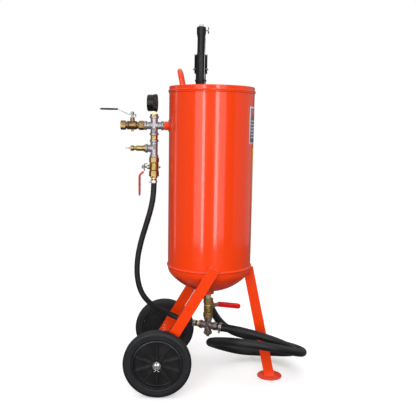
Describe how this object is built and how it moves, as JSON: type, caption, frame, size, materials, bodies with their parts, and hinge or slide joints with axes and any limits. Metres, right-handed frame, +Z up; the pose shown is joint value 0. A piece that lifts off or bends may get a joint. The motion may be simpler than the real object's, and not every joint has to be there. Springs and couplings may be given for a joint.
{
  "type": "portable pressure blaster",
  "caption": "Tall pressure pot for abrasive blasting on two wheels and a foot, with air manifold, gauge, ball valves, looped hoses and a dead-man blast gun.",
  "frame": {"origin": "centre of the footprint on the floor, without the hoses", "axes": "+Z up along the tank, +X from the inlet valve towards the foot, +Y towards the side with the gun"},
  "size_m": [0.831, 0.4806, 1.4102],
  "materials": {
    "orange_paint": "gloss",
    "black_rubber": "matte",
    "tyre_rubber": "matte",
    "black_plastic": "satin",
    "brass": "machined",
    "zinc_iron": "galvanised",
    "brown_iron": "rough",
    "zinc_steel": "plated",
    "chrome": "polished",
    "red_vinyl": "gloss",
    "black_vinyl": "gloss",
    "dial_white": "matte",
    "lens_glass": "clear",
    "black_metal": "anodised",
    "ceramic": "matte"
  },
  "bodies": {
    "tank": {"air_hose": "black_rubber", "air_hose_barbs": "brass", "air_hose_clamps": "zinc_steel", "air_port": "orange_paint", "axle": "zinc_steel", "axle_washers": "zinc_steel", "blast_barb": "brown_iron", "blast_clamp": "zinc_steel", "blast_hose": "black_rubber", "blast_nozzle": "ceramic", "bottom_head": "orange_paint", "cleanout_plug": "brown_iron", "filler_neck": "orange_paint", "foot_plate": "orange_paint", "front_leg": "orange_paint", "gauge_bushing": "brass", "gauge_case": "black_plastic", "gauge_dial": "dial_white", "gauge_lens": "lens_glass", "gauge_stem": "brass", "gun_body": "black_metal", "gun_holder": "orange_paint", "handle": "orange_paint", "hose_valve_body": "brass", "inlet_valve_body": "brass", "lever_pin": "zinc_steel", "manifold_cross": "zinc_iron", "manifold_nipples": "brass", "manifold_tee": "zinc_iron", "mixing_cross": "brown_iron", "nozzle_nut": "black_metal", "outlet_boss": "orange_paint", "outlet_nipple": "brass", "outlet_valve_body": "brass", "rear_leg_far": "orange_paint", "rear_leg_near": "orange_paint", "safety_valve_body": "brass", "split_pins": "zinc_steel", "tank_shell": "orange_paint", "top_head": "orange_paint", "wing_bolt": "chrome"},
    "wheel_near": {"hub_near": "black_plastic", "tyre_near": "tyre_rubber"},
    "wheel_far": {"hub_far": "black_plastic", "tyre_far": "tyre_rubber"},
    "inlet_handle": {"inlet_valve_spindle": "zinc_steel", "inlet_valve_lever": "zinc_steel", "inlet_valve_sleeve": "black_vinyl"},
    "hose_handle": {"hose_valve_spindle": "zinc_steel", "hose_valve_lever": "zinc_steel", "hose_valve_sleeve": "red_vinyl"},
    "outlet_handle": {"outlet_valve_spindle": "zinc_steel", "outlet_valve_lever": "zinc_steel", "outlet_valve_sleeve": "red_vinyl"},
    "gauge_needle": {"gauge_pointer": "black_metal"},
    "safety_pull": {"safety_valve_stem": "brass"},
    "dead_man_lever": {"gun_lever": "black_metal"},
    "filler_seal": {"filler_gasket": "black_rubber"},
    "filler_cap": {"filler_plug": "zinc_iron"}
  },
  "joints": [
    {"name": "wheel_near_turn", "type": "hinge", "parent": "tank", "child": "wheel_near", "pos_m": [-0.12325, -0.2045, 0.127], "axis": [0, 1, 0], "continuous": true},
    {"name": "wheel_far_turn", "type": "hinge", "parent": "tank", "child": "wheel_far", "pos_m": [-0.12325, 0.2045, 0.127], "axis": [0, 1, 0], "continuous": true},
    {"name": "inlet_valve_turn", "type": "hinge", "parent": "tank", "child": "inlet_handle", "pos_m": [-0.23965, 0, 0.998], "axis": [0, 0, 1], "range_deg": [0, 90]},
    {"name": "hose_valve_turn", "type": "hinge", "parent": "tank", "child": "hose_handle", "pos_m": [-0.15625, 0, 0.8395], "axis": [-1, 0, 0], "range_deg": [0, 90]},
    {"name": "outlet_valve_turn", "type": "hinge", "parent": "tank", "child": "outlet_handle", "pos_m": [0.06325, 0, 0.2818], "axis": [0.2756, 0.9613, 0], "range_deg": [0, 90]},
    {"name": "gauge_needle_turn", "type": "hinge", "parent": "tank", "child": "gauge_needle", "pos_m": [-0.15526, -0.00026, 1.0835], "axis": [0.9986, -0.0523, 0], "range_deg": [-270, 0], "stiffness_Nm_per_rad": 0.0005},
    {"name": "safety_valve_pull", "type": "slide", "parent": "tank", "child": "safety_pull", "axis": [-1, 0, 0], "range_m": [0, 0.003], "stiffness_N_per_m": 1500},
    {"name": "dead_man_squeeze", "type": "hinge", "parent": "tank", "child": "dead_man_lever", "pos_m": [0.01725, 0.206, 1.233], "axis": [-1, 0, 0], "range_deg": [0, 5], "stiffness_Nm_per_rad": 4, "springref_deg": -2.86},
    {"name": "filler_rise", "type": "slide", "parent": "tank", "child": "filler_seal", "axis": [0, 0, 1], "range_m": [0, 0.0165]},
    {"name": "filler_unscrew", "type": "hinge", "parent": "filler_seal", "child": "filler_cap", "pos_m": [0.06325, 0, 1.11], "axis": [0, 0, 1], "range_deg": [0, 2520]}
  ],
  "couplings": [
    {"joint": "filler_rise", "follows": "filler_unscrew", "m_per_rad": 0.00036749}
  ]
}
